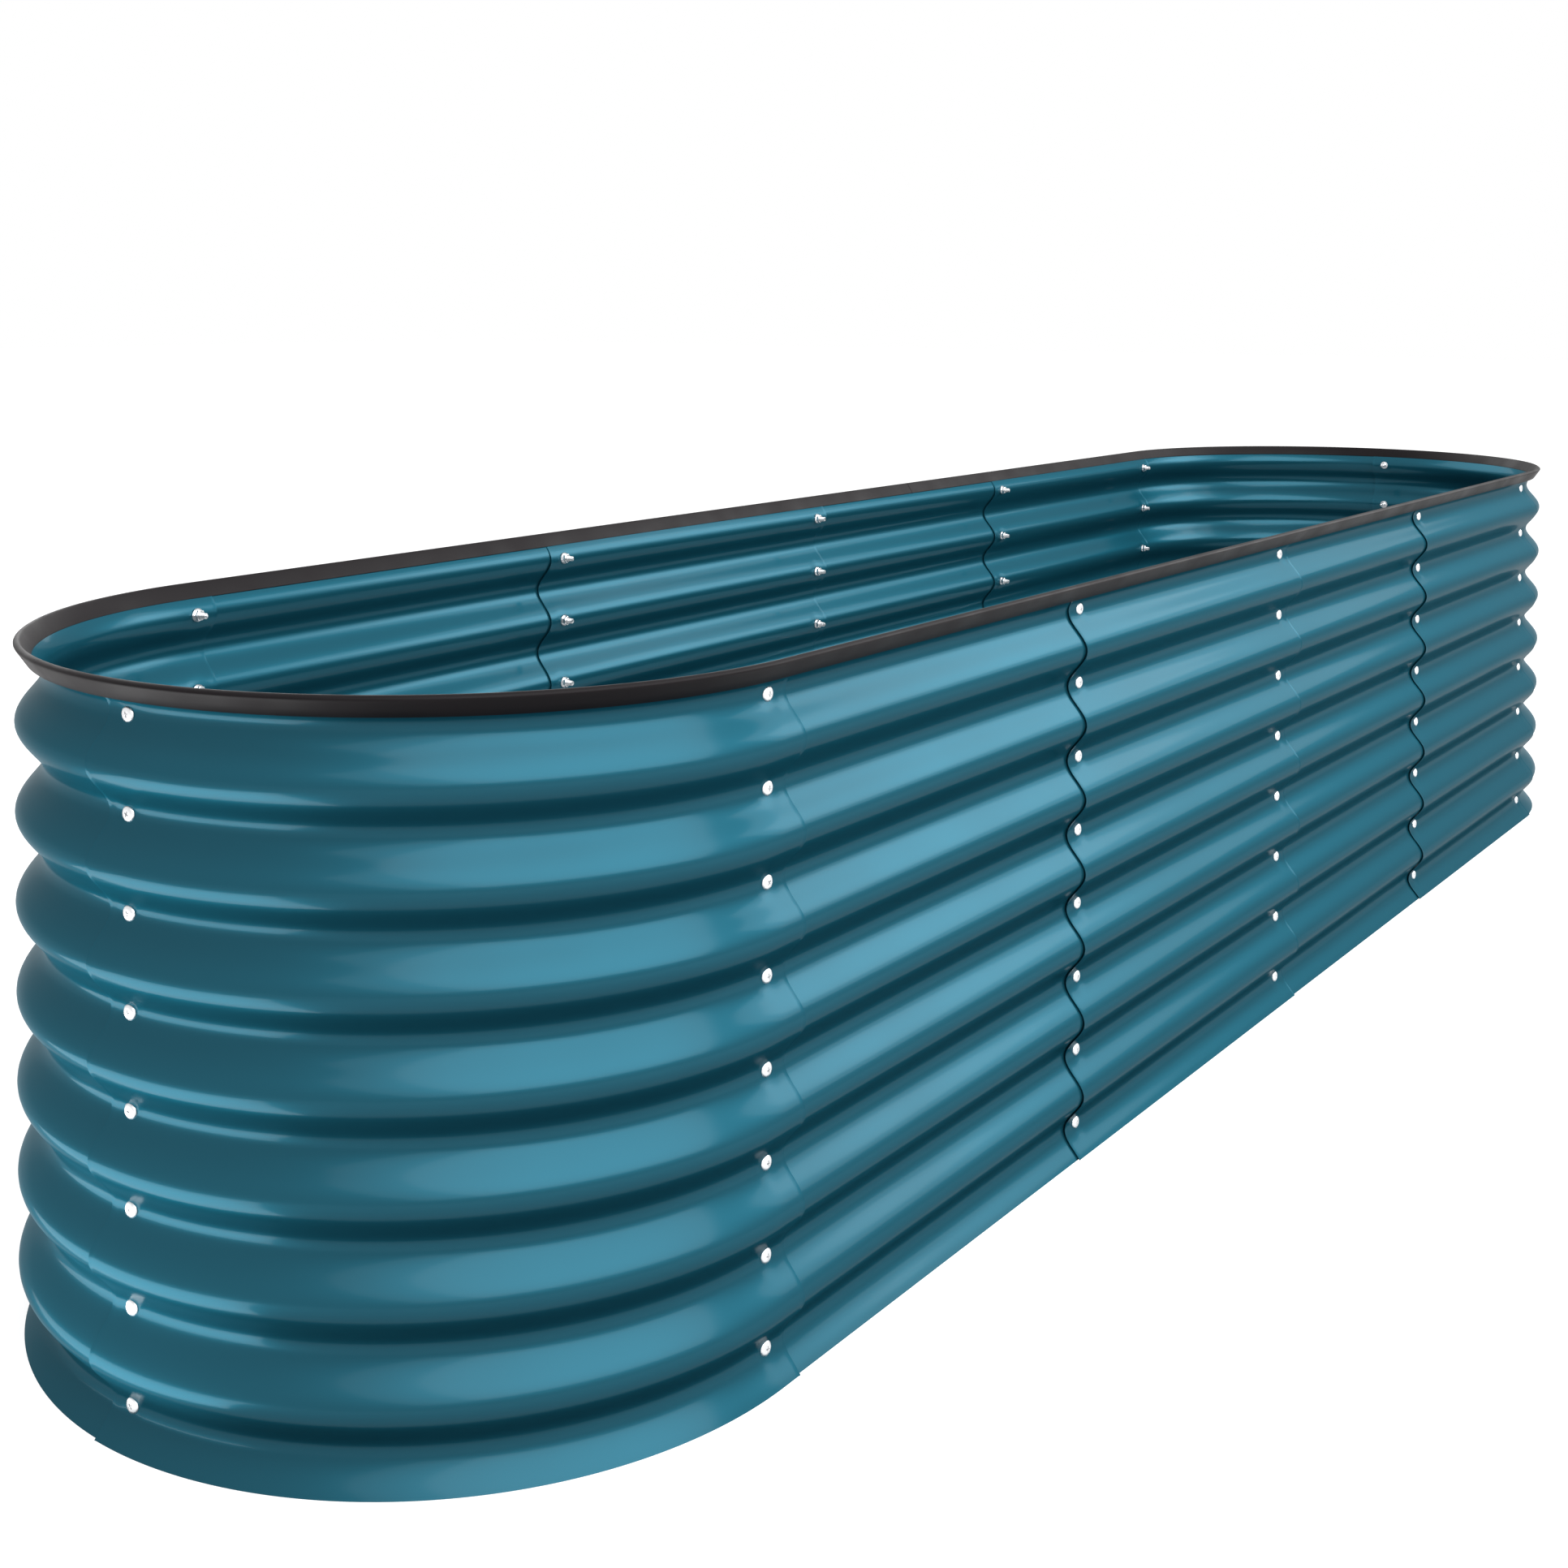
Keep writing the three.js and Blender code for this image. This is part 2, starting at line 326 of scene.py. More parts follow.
@dataclass(frozen=True)
class EnamelledSheet(Finish):
    """Polyester enamel with a fine metal flake under a thin clear coat, stove-baked on galvanised sheet.

    The eye gets an even deep teal with long soft highlights that follow the corrugation. The flake
    tints them, the coat whitens them a little, and the paint's own orange peel breaks them slightly.
    """

    name: str = "stove_enamelled_steel"
    colour: str = "#184E5E"
    second_colour: str = "#164A59"
    cloud: float = 240 * MM
    cloud_detail: float = 3.0
    roughness: Pair = (0.31, 0.37)
    relief_depth: float = 0.004 * MM
    peel: float = 6 * MM
    peel_detail: float = 1.0
    flake: float = 0.5
    grazing_tint: str = "#AEB9BC"  # keeps the far panels teal where the flake mirrors the white room
    bare_shine: float = 0.0  # what isn't flake shines by its coat alone
    coat: float = 0.11
    coat_roughness: float = 0.11
    coat_ior: float = 1.7  # above a lacquer's 1.5: as bright in the highlights with less at the edges

    def relief(self, add: Adder, place: Socket) -> Node:
        """Adds the orange peel."""
        return add(NOISE, {"Vector": place, "Scale": 1 / self.peel, "Detail": self.peel_detail})

    def shine(self) -> dict[str, object]:
        """The shader's settings for the flake and the clear coat.

        Returns:
            The settings, by socket.
        """
        return {
            "Metallic": self.flake,
            "Specular IOR Level": self.bare_shine,
            "Specular Tint": linear(self.grazing_tint),
            "Coat Weight": self.coat,
            "Coat Roughness": self.coat_roughness,
            "Coat IOR": self.coat_ior,
        }


@dataclass(frozen=True)
class ZincPlate(Finish):
    """Bright zinc electroplated on steel: silver-white, a little cloudy, with soft blurred reflections.

    A screw's thread shows as close light and dark turns on its shank.
    """

    name: str = "bright_zinc_plated_steel"
    colour: str = "#F1F1F2"
    second_colour: str = "#D6D8DA"
    cloud: float = 4 * MM
    cloud_detail: float = 4.0
    roughness: Pair = (0.26, 0.42)
    relief_depth: float = 0.3 * MM
    thread_start: float = -2 * MM  # from the underside of a bolt's head
    thread_pitch: float = 1 * MM

    def relief(self, add: Adder, place: Socket) -> Node:
        """Adds the thread, on the pieces whose UV map gives the turn and the distance along a shank.

        Args:
            add: what adds a node to the material.
            place: the piece's own coordinates, which the thread doesn't need.

        Returns:
            The node that gives the thread's height.
        """
        thread_map = add("ShaderNodeUVMap", uv_map="thread")
        turn, along, _ = add(SEPARATE, [thread_map]).outputs
        turns = add(MATH, [along, 1 / self.thread_pitch, turn], "MULTIPLY_ADD")
        angle = add(MATH, [turns, 2 * math.pi], "MULTIPLY")
        wave = add(MATH, [angle], "SINE")
        threaded = add(MATH, [along, self.thread_start], "LESS_THAN")
        return add(MATH, [wave, threaded], "MULTIPLY")

    def shine(self) -> dict[str, object]:
        """The shader's setting for bare metal."""
        return {"Metallic": 1.0}


@dataclass(frozen=True)
class ExtrudedRubber(Finish):
    """Extruded EPDM rubber: near-black and satin, with faint bloom and a fine skin."""

    name: str = "extruded_epdm_rubber"
    colour: str = "#0E0B0D"
    second_colour: str = "#161214"
    cloud: float = 60 * MM
    cloud_detail: float = 5.0
    roughness: Pair = (0.42, 0.56)
    relief_depth: float = 0.03 * MM
    relief_strength: float = 0.6
    skin: float = 1.2 * MM  # a few times coarser than the real skin, so that it shows
    skin_detail: float = 2.0
    ior: float = 1.5
    sheen: float = 0.1  # a dusty skin mirrors little

    def relief(self, add: Adder, place: Socket) -> Node:
        """Adds the skin."""
        return add(NOISE, {"Vector": place, "Scale": 1 / self.skin, "Detail": self.skin_detail})

    def shine(self) -> dict[str, object]:
        """The shader's settings for dull rubber."""
        return {"IOR": self.ior, "Specular IOR Level": self.sheen}


# The plan that every piece follows.


@dataclass(frozen=True)
class OvalPlan:
    """The bed seen from above: two straight sides joined by two half circles.

    A place on it is a distance along the crest line, counter-clockwise from the front's left seam, and a
    reach from the line between the two round ends' centres.
    """

    straight: float
    radius: float

    @property
    def half_round(self) -> float:
        """Length of one round end."""
        return math.pi * self.radius

    @property
    def around(self) -> float:
        """Length of the whole oval."""
        return 2 * (self.straight + self.half_round)

    def group(self) -> Tree:
        """Builds the node group that turns a place on the plan into a point, or finds it if it's built.

        Returns:
            The group, which gives the point and the angle that faces out of the bed there.
        """
        name = "oval_plan"
        if name in bpy.data.node_groups:
            return bpy.data.node_groups[name]
        inputs = {"Float": "along reach height straight radius"}
        tree, add, given = new_tree(name, inputs, {"Vector": "point", "Float": "facing"})
        along, reach, height, straight, radius = given[:5]
        half_round = add(MATH, [radius, math.pi], "MULTIPLY")
        back_start = add(MATH, [straight, half_round], "ADD")
        back_end = add(MATH, [back_start, straight], "ADD")
        around = add(MATH, [back_end, half_round], "ADD")
        place = add(MATH, [along, around, 0.0], "WRAP")
        turned_right = add(MAP_RANGE, [place, straight, back_start, 0.0, math.pi])
        turned_left = add(MAP_RANGE, [place, back_end, around, 0.0, math.pi])
        turned = add(MATH, [turned_right, turned_left], "ADD")
        facing = add(MATH, [turned, -math.pi / 2], "ADD")
        forth = add(MAP_RANGE, [place, 0.0, straight, 0.0, straight])
        back = add(MAP_RANGE, [place, back_start, back_end, 0.0, straight])
        gone = add(MATH, [forth, back], "SUBTRACT")
        centre = add(MATH, [straight, -0.5, gone], "MULTIPLY_ADD")
        cosine = add(MATH, [facing], "COSINE")
        sine = add(MATH, [facing], "SINE")
        x = add(MATH, [reach, cosine, centre], "MULTIPLY_ADD")
        y = add(MATH, [reach, sine], "MULTIPLY")
        point = add(COMBINE, [x, y, height])
        add("NodeGroupOutput", [point, facing])
        return tree


# The corrugated sheet.


@dataclass(frozen=True)
class Panel:
    """One panel: its CAD node, where it starts and ends on the plan, and its layer in the laps."""

    node: str
    first_seam: float
    last_seam: float
    layer: Layer


@dataclass
class CorrugatedWall:
    """The twelve panels, pressed with horizontal waves and lapped at every seam."""

    plan: OvalPlan
    crest_reach: float
    height: float
    pitch: float = 78.4 * MM
    depth: float = 22 * MM
    first_valley: float = 28 * MM
    sheet: float = 0.6 * MM
    stand_off: float = 1.6 * MM  # between lapped sheets, away from the bolts that pull them together
    lap_end: float = 25 * MM  # sheet beyond a seam
    edge_lift: float = 0.35 * MM  # of a cut end, away from the sheet behind it
    lap_zone: float = 50 * MM  # finely divided ends of a panel
    column: float = 2.5 * MM  # in a lap zone
    flat_columns: int = 8  # between the lap zones of a flat panel
    round_column: float = 8 * MM  # between those of a round one
    wave_rows: int = 26
    margin_rows: int = 9
    hole: float = 3.5 * MM
    pinch_radius: float = 17 * MM
    trimmed: float = 18 * MM  # top edge that the trim holds together
    finish: EnamelledSheet = field(default_factory=EnamelledSheet)

    @property
    def waves(self) -> int:
        """Whole waves between the lowest and highest bolt rows."""
        return round((self.height - 2 * self.first_valley) / self.pitch)

    @property
    def layer_step(self) -> float:
        """How far an inner sheet lies behind an outer one."""
        return self.sheet + self.stand_off

    @property
    def bolt_seat(self) -> float:
        """Reach of the outer sheet's outer face at a bolt."""
        return self.crest_reach - self.depth - self.stand_off / 2

    @property
    def nut_seat(self) -> float:
        """Reach of the inner sheet's inner face at a bolt."""
        return self.bolt_seat - 2 * self.sheet

    def zones(self) -> Tree:
        """Builds the group that spaces a grid's lines: close together in both margins, wider between.

        Returns:
            The group, whose place runs from 0 to whole as ratio runs from 0 to 1.
        """
        inputs = {"Float": "ratio share margin whole"}
        tree, add, given = new_tree("grid_zones", inputs, {"Float": "place"})
        ratio, share, margin, whole = given[:4]
        far_share = add(MATH, [1.0, share], "SUBTRACT")
        middle = add(MATH, [margin, -2.0, whole], "MULTIPLY_ADD")
        near = add(MAP_RANGE, [ratio, 0.0, share, 0.0, margin])
        between = add(MAP_RANGE, [ratio, share, far_share, 0.0, middle])
        far = add(MAP_RANGE, [ratio, far_share, 1.0, 0.0, margin])
        near_sum = add(MATH, [near, between], "ADD")
        place = add(MATH, [near_sum, far], "ADD")
        add("NodeGroupOutput", [place])
        return tree

    def tree(self) -> Tree:
        """Builds the tree that presses one panel out of a flat grid.

        Returns:
            The tree: a grid, punched at both seams, waved, pulled together at its bolts and bent to the plan.
        """
        floats = "start length height reach pitch depth first_valley lap_end lap_zone hole pinch "
        floats += "pinch_radius trimmed lift column column_share row_share straight radius"
        tree, add, size = new_tree("pressed_panel", PIECE | {"Float": floats, "Int": "columns rows"})
        zones = self.zones()
        grid = add("GeometryNodeMeshGrid", [1.0, 1.0, size["columns"], size["rows"]])
        position = add("GeometryNodeInputPosition")
        corner = add(VECTOR_MATH, [position, (0.5, 0.5, 0.0)], "ADD")
        along_ratio, up_ratio, _ = add(SEPARATE, [corner]).outputs
        across = [along_ratio, size["column_share"], size["lap_zone"], size["length"]]
        from_end = add(GROUP, across, node_tree=zones)
        upwards = [up_ratio, size["row_share"], size["first_valley"], size["height"]]
        up = add(GROUP, upwards, node_tree=zones)

        # Where a point lies from its nearest bolt.
        past_middle = add(MATH, [along_ratio, 0.5], "GREATER_THAN")
        seams_apart = add(MATH, [size["lap_end"], -2.0, size["length"]], "MULTIPLY_ADD")
        seam = add(MATH, [past_middle, seams_apart, size["lap_end"]], "MULTIPLY_ADD")
        bolt_along = add(MATH, [from_end, seam], "SUBTRACT")
        half_pitch = add(MATH, [size["pitch"], 0.5], "MULTIPLY")
        half_down = add(MATH, [size["pitch"], -0.5], "MULTIPLY")
        over_valley = add(MATH, [up, size["first_valley"]], "SUBTRACT")
        bolt_up = add(MATH, [over_valley, half_pitch, half_down], "WRAP")
        from_bolt = add(COMBINE, [bolt_along, bolt_up, 0.0])
        distance = add(VECTOR_MATH, [from_bolt], "LENGTH").outputs["Value"]

        # The punched hole: faces over it go, and points left inside it move out to its edge.
        in_hole = add(MATH, [distance, size["hole"]], "LESS_THAN")
        punched = add("GeometryNodeDeleteGeometry", [grid, in_hole], domain="FACE")
        stretch = add(MATH, [size["hole"], distance], "DIVIDE")
        outwards = add(MATH, [stretch, 1.0], "MAXIMUM")
        excess = add(MATH, [outwards, 1.0], "SUBTRACT")
        push = add(VECTOR_MATH, {0: from_bolt, "Scale": excess}, "SCALE")
        push_along, push_up, _ = add(SEPARATE, [push]).outputs
        pushed_end = add(MATH, [from_end, push_along], "ADD")
        height = add(MATH, [up, push_up], "ADD")
        along = add(MATH, [pushed_end, size["start"]], "ADD")

        # The wave, measured inwards from the crests.
        turn = add(MATH, [2 * math.pi, size["pitch"]], "DIVIDE")
        valley_up = add(MATH, [height, size["first_valley"]], "SUBTRACT")
        phase = add(MATH, [valley_up, turn], "MULTIPLY")
        wave = add(MATH, [phase], "COSINE")
        hollow = add(MATH, [wave, 0.5, 0.5], "MULTIPLY_ADD")
        sunk = add(MATH, [hollow, size["depth"]], "MULTIPLY")
        waved = add(MATH, [size["reach"], sunk], "SUBTRACT")

        # Lapped sheets meet at each bolt and in the trim, and a cut end lifts a little.
        fade = {"interpolation_type": "SMOOTHSTEP"}
        near_bolt = add(MAP_RANGE, [distance, size["hole"], size["pinch_radius"], 1.0, 0.0], **fade)
        below_top = add(MATH, [size["height"], height], "SUBTRACT")
        trim_fade = add(MATH, [size["trimmed"], 2.0], "MULTIPLY")
        in_trim = add(MAP_RANGE, [below_top, size["trimmed"], trim_fade, 1.0, 0.0], **fade)
        held = add(MATH, [near_bolt, in_trim], "MAXIMUM")
        pinched = add(MATH, [held, size["pinch"]], "MULTIPLY")
        pinched_reach = add(MATH, [waved, pinched], "ADD")
        from_far_end = add(MATH, [size["length"], from_end], "SUBTRACT")
        from_cut = add(MATH, [from_end, from_far_end], "MINIMUM")
        lifted = add(MAP_RANGE, [from_cut, 0.0, size["column"], size["lift"], 0.0])
        reach = add(MATH, [pinched_reach, lifted], "ADD")

        place = [along, reach, height, size["straight"], size["radius"]]
        point = add(GROUP, place, node_tree=self.plan.group())
        pressed = add(SET_POSITION, {"Geometry": punched, "Position": point})
        end_tree(add, pressed, size["finish"])
        return tree

    def build(self, panels: Iterable[Panel]) -> None:
        """Presses every panel and lets it stand for its CAD node.

        Args:
            panels: the panels.
        """
        tree = self.tree()
        rows = 2 * self.margin_rows + self.waves * self.wave_rows
        lap_columns = round(self.lap_zone / self.column)
        shared = vars(self) | vars(self.plan) | {
            "row_share": self.margin_rows / rows,
            "rows": rows + 1,
            "finish": self.finish.material(),
        }
        for panel in panels:
            length = panel.last_seam - panel.first_seam + 2 * self.lap_end
            between = self.flat_columns
            if panel.node.startswith("corner"):
                between = round((length - 2 * self.lap_zone) / self.round_column)
            columns = 2 * lap_columns + between
            outer = panel.layer is Layer.OUTER
            sizes = shared | {
                "start": panel.first_seam - self.lap_end,
                "length": length,
                "reach": self.crest_reach - (0 if outer else self.layer_step),
                "column_share": lap_columns / columns,
                "pinch": self.stand_off / 2 * (-1 if outer else 1),
                "lift": self.edge_lift * (1 if outer else -1),
                "columns": columns + 1,
            }
            blank = bpy.data.meshes.new("blank")
            piece = grow("enamelled_" + panel.node, blank, tree, sizes, wall=self.sheet)
            for vertex in piece.data.vertices:  # the cut edges stay level
                vertex.co.z = min(max(vertex.co.z, 0.0), self.height)
            dress(piece, panel.node)


# The fasteners.


def ring(shape: Shape, x: float, radii: Sequence[float], turn: float = 0.0) -> Ring:
    """Adds a ring of points about the X axis.

    Args:
        shape: the mesh that takes them.
        x: the ring's place on the axis.
        radii: the distance of each point from the axis.
        turn: the angle of the first point.

    Returns:
        The ring.
    """
    angles = [turn + 2 * math.pi * i / len(radii) for i in range(len(radii))]
    return [shape.verts.new((x, r * math.cos(a), r * math.sin(a))) for r, a in zip(radii, angles)]


def join(shape: Shape, rings: list[Ring], closed: bool = False) -> None:
    """Joins rings of as many points, each to the next, with bands of faces.

    Args:
        shape: the mesh that holds them.
        rings: the rings.
        closed: whether the last one joins the first.
    """
    for near, far in zip(rings, rings[1:] + rings[: int(closed)]):
        for i, point in enumerate(near):
            j = (i + 1) % len(near)
            shape.faces.new((point, far[i], far[j], near[j]))


def to_mesh(shape: Shape, name: str) -> Mesh:
    """Turns a finished shape into a mesh whose faces point outwards.

    Args:
        shape: the shape, which is used up.
        name: the mesh's name.

    Returns:
        The mesh.
    """
    bmesh.ops.recalc_face_normals(shape, faces=shape.faces)
    mesh = bpy.data.meshes.new(name)
    shape.to_mesh(mesh)
    shape.free()
    return mesh


def four_ways(cells: list[tuple[int, int]]) -> list[tuple[int, int]]:
    """Turns some places of a 4 by 4 grid about its middle, a quarter turn at a time.

    Args:
        cells: the places.

    Returns:
        The places at all four turns, in order.
    """
    path = []
    for _ in range(4):
        path += cells
        cells = [(3 - j, i) for i, j in cells]
    return path


@dataclass
class PanHeadBolt:
    """A machine screw with a domed pan head and a cross recess; X points out through its head."""

    head_radius: float = 6.8 * MM
    head_height: float = 3 * MM
    dome: tuple[Pair, ...] = (  # (up, out), as shares of the head's height and radius
        (0.985, 0.52),
        (0.9, 0.68),
        (0.72, 0.84),
        (0.45, 0.97),
        (0.18, 1.02),
        (0.0, 1.0),
    )
    shank_radius: float = 3 * MM
    shank: float = 15.4 * MM
    tip: float = 0.6 * MM  # length of the tapered end
    taper: float = 0.7 * MM
    sides: int = 24
    first_corner: float = -22.5  # degrees; lines the head's corners up with the recess
    recess_arm: float = 2.4 * MM
    recess_half_width: float = 0.55 * MM
    recess_depth: float = 1.7 * MM
    recess_taper: float = 0.72  # the recess's floor as a share of its mouth
    ground_corner: float = 0.84  # of the flat ground round the recess, as a share of an arm

    def mesh(self) -> Mesh:
        """Builds the bolt with the underside of its head at the origin.

        Returns:
            The mesh, whose UV map holds the turn about the shank and the distance along it in metres.
        """
        shape = bmesh.new()
        start = math.radians(self.first_corner)
        sections = [(self.head_height * up, self.head_radius * out) for up, out in self.dome]
        sections += [(0.0, self.shank_radius), (self.tip - self.shank, self.shank_radius)]
        sections += [(-self.shank, self.shank_radius - self.taper)]
        rings = [ring(shape, x, [radius] * self.sides, start) for x, radius in sections]
        join(shape, rings)
        self.recess(shape, rings[0])
        shape.faces.new(rings[-1])
        threads = shape.loops.layers.uv.new("thread")
        for face in shape.faces:
            turns = [math.atan2(loop.vert.co.z, loop.vert.co.y) / (2 * math.pi) for loop in face.loops]
            crosses_back = max(turns) - min(turns) > 0.5
            for loop, turn in zip(face.loops, turns):
                loop[threads].uv = (turn + 1 if crosses_back and turn < 0 else turn, loop.vert.co.x)
        return to_mesh(shape, "pan_head_bolt")

    def recess(self, shape: Shape, edge: Ring) -> None:
        """Closes the head's top with a cross recess.

        Args:
            shape: the bolt's mesh.
            edge: the dome's innermost ring.
        """
        arm, half, top = self.recess_arm, self.recess_half_width, self.head_height
        low = top - self.recess_depth
        marks = (-arm, -half, half, arm)
        mouth, floor = {}, {}
        for i, y in enumerate(marks):
            for j, z in enumerate(marks):
                if i in (0, 3) and j in (0, 3):
                    mouth[i, j] = shape.verts.new((top, self.ground_corner * y, self.ground_corner * z))
                else:
                    mouth[i, j] = shape.verts.new((top, y, z))
                    floor[i, j] = shape.verts.new((low, self.recess_taper * y, self.recess_taper * z))
        for i in range(3):
            for j in range(3):
                source = floor if 1 in (i, j) else mouth
                shape.faces.new([source[key] for key in ((i, j), (i + 1, j), (i + 1, j + 1), (i, j + 1))])
        cross = four_ways([(3, 1), (3, 2), (2, 2)])
        for a, b in zip(cross, cross[1:] + cross[:1]):
            shape.faces.new((mouth[a], mouth[b], floor[b], floor[a]))
        border = four_ways([(3, 1), (3, 2), (3, 3)])
        for k, (a, b) in enumerate(zip(border, border[1:] + border[:1])):
            first, second, third = (edge[(2 * k + n) % len(edge)] for n in range(3))
            shape.faces.new((mouth[a], first, second))
            shape.faces.new((mouth[a], second, third, mouth[b]))


@dataclass
class HexNut:
    """A plain hexagon nut on a flat washer; X points out of the bed, from the washer's face at the origin."""

    across_flats: float = 10 * MM
    height: float = 5 * MM
    bore: float = 2.95 * MM
    chamfer: float = 0.5 * MM
    back_share: float = 0.96  # radius of the nut's back face as a share of half its width across flats
    washer_radius: float = 7 * MM
    washer_hole: float = 3.25 * MM
    washer: float = 1.2 * MM
    washer_gap: float = 0.02 * MM
    washer_sides: int = 24

    def mesh(self) -> Mesh:
        """Builds the nut and its washer.

        Returns:
            One mesh of two closed bodies.
        """
        shape = bmesh.new()
        flat = self.across_flats / 2
        hexagon = [flat / math.cos(math.pi / 6), flat] * 6
        bore = [self.bore] * len(hexagon)
        front = -self.washer - self.washer_gap
        back = front - self.height
        nut = [
            (front, bore),
            (front, [flat] * len(hexagon)),
            (front - self.chamfer, hexagon),
            (back + self.chamfer, hexagon),
            (back, [flat * self.back_share] * len(hexagon)),
            (back, bore),
        ]
        hole = [self.washer_hole] * self.washer_sides
        rim = [self.washer_radius] * self.washer_sides
        washer = [(0.0, hole), (0.0, rim), (-self.washer, rim), (-self.washer, hole)]
        for outline in (nut, washer):
            join(shape, [ring(shape, x, radii) for x, radii in outline], closed=True)
        return to_mesh(shape, "hex_nut")


@dataclass
class SeamFasteners:
    """The bolts outside and the nuts inside every seam, one of each in every valley."""

    plan: OvalPlan
    wall: CorrugatedWall
    tied_row: int
    tab: float
    bolt: PanHeadBolt = field(default_factory=PanHeadBolt)
    nut: HexNut = field(default_factory=HexNut)
    finish: ZincPlate = field(default_factory=ZincPlate)

    def tree(self) -> Tree:
        """Builds the tree that sets one fastener in every valley of a seam.

        Returns:
            The tree; each copy faces out of the bed and is turned on its own axis by a seeded angle.
        """
        floats = "along reach straight radius first_valley pitch tied_shift"
        tree, add, size = new_tree("seam_row", PIECE | {"Float": floats, "Int": "rows tied_row seed"})
        row = add("GeometryNodeInputIndex")
        tied = add("FunctionNodeCompare", {2: row, 3: size["tied_row"]}, "EQUAL", data_type="INT")
        shifted = add(MATH, [tied, size["tied_shift"]], "MULTIPLY")
        reach = add(MATH, [size["reach"], shifted], "SUBTRACT")
        height = add(MATH, [row, size["pitch"], size["first_valley"]], "MULTIPLY_ADD")
        place = [size["along"], reach, height, size["straight"], size["radius"]]
        point = add(GROUP, place, node_tree=self.plan.group())
        line = add("GeometryNodeMeshLine", {"Count": size["rows"]})
        points = add(SET_POSITION, {"Geometry": line, "Position": point.outputs["point"]})
        spin = add("FunctionNodeRandomValue", {2: 0.0, 3: 2 * math.pi, "Seed": size["seed"]})
        turn = add(COMBINE, [spin, 0.0, point.outputs["facing"]])
        copied = {"Points": points, "Instance": size["geometry"], "Rotation": turn}
        end_tree(add, add("GeometryNodeInstanceOnPoints", copied), size["finish"])
        return tree

    def build(self, seams: dict[str, float], tied: set[str]) -> None:
        """Sets the bolts and nuts of every seam.

        Args:
            seams: each seam's place on the plan, by name.
            tied: the seams whose tied row holds a rod.
        """
        wall = self.wall
        tree = self.tree()
        bolt_mesh, nut_mesh = self.bolt.mesh(), self.nut.mesh()
        shared = vars(wall) | vars(self.plan) | {"rows": wall.waves + 1, "finish": self.finish.material()}
        for seed, (seam, along) in enumerate(seams.items()):
            sizes = shared | {"along": along, "reach": wall.bolt_seat, "seed": seed, "tied_row": -1}
            bolts = grow("pan_head_bolts_" + seam, bolt_mesh, tree, sizes)
            dress(bolts, "seam_bolts_" + seam)
            sizes |= {"reach": wall.nut_seat, "seed": seed + len(seams)}
            if seam in tied:
                sizes |= {"tied_row": self.tied_row, "tied_shift": self.tab}
            nuts = grow("nuts_and_washers_" + seam, nut_mesh, tree, sizes)
            dress(nuts, "seam_nuts_" + seam)


# The trim.


